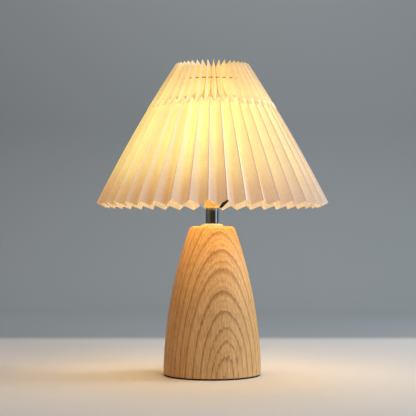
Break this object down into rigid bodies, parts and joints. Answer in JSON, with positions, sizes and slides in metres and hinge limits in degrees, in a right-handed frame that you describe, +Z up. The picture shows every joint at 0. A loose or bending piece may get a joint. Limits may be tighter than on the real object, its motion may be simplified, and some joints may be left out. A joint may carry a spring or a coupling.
{
  "type": "pleated paper table lamp",
  "caption": "Table lamp with a turned wooden cone base, a short chromed neck, a lampholder with its bulb and a conical pleated paper shade resting on a wire carrier.",
  "frame": {"origin": "middle of the underside of the foot pad, on the table", "axes": "+Z up along the lamp's axis, -Y towards the side seen in the picture, the cord hole at +Y"},
  "size_m": [0.2776, 0.2776, 0.3723],
  "materials": {
    "pad_felt": "dull, slightly rough",
    "ash_wood": "oiled, satin",
    "black_plastic": "moulded, satin",
    "plated_steel": "zinc plated",
    "cream_plastic": "moulded, satin",
    "chromed_steel": "polished chrome",
    "holder_plastic": "moulded, satin",
    "insert_ceramic": "glazed",
    "contact_brass": "bright brass",
    "carrier_paint": "white powder coat",
    "shade_paper": "translucent pleated paper, matt",
    "gather_thread": "twisted thread",
    "opal_glass": "frosted, warm white light inside",
    "stem_glass": "clear",
    "filament_coating": "yellow phosphor coating",
    "bulb_cap_metal": "bright rolled metal",
    "insulator_glass": "black, glossy"
  },
  "bodies": {
    "stand": {"foot_pad": "pad_felt", "wooden_base": "ash_wood", "cord_bush": "black_plastic", "base_nut": "plated_steel", "base_washer": "plated_steel", "threaded_tube": "plated_steel", "neck_collar": "cream_plastic", "neck_tube": "chromed_steel", "socket_cup": "chromed_steel", "cup_nut": "plated_steel", "lampholder_cap": "holder_plastic", "lampholder_insert": "insert_ceramic", "lampholder_shell": "holder_plastic", "screw_shell": "contact_brass", "centre_contact": "contact_brass", "side_contact": "contact_brass", "terminal_screws": "plated_steel", "carrier_foot_ring": "carrier_paint", "carrier_arms": "carrier_paint", "carrier_top_ring": "carrier_paint", "shade_ring_nut": "holder_plastic"},
    "shade": {"pleated_shade": "shade_paper", "gather_cord": "gather_thread"},
    "bulb_lift": {"bulb_contact": "contact_brass"},
    "bulb": {"bulb_globe": "opal_glass", "bulb_stem": "stem_glass", "bulb_filaments": "filament_coating", "bulb_cap": "bulb_cap_metal", "bulb_insulator": "insulator_glass"}
  },
  "joints": [
    {"name": "shade_turn", "type": "hinge", "parent": "stand", "child": "shade", "pos_m": [0, 0, 0.3], "axis": [0, 0, 1], "continuous": true},
    {"name": "bulb_rise", "type": "slide", "parent": "stand", "child": "bulb_lift", "axis": [0, 0, 1], "range_m": [0, 0.0218]},
    {"name": "bulb_turn", "type": "hinge", "parent": "bulb_lift", "child": "bulb", "pos_m": [0, 0, 0.24], "axis": [0, 0, 1], "range_deg": [0, 2160]}
  ],
  "couplings": [
    {"joint": "bulb_rise", "follows": "bulb_turn", "m_per_rad": 0.00057757}
  ]
}
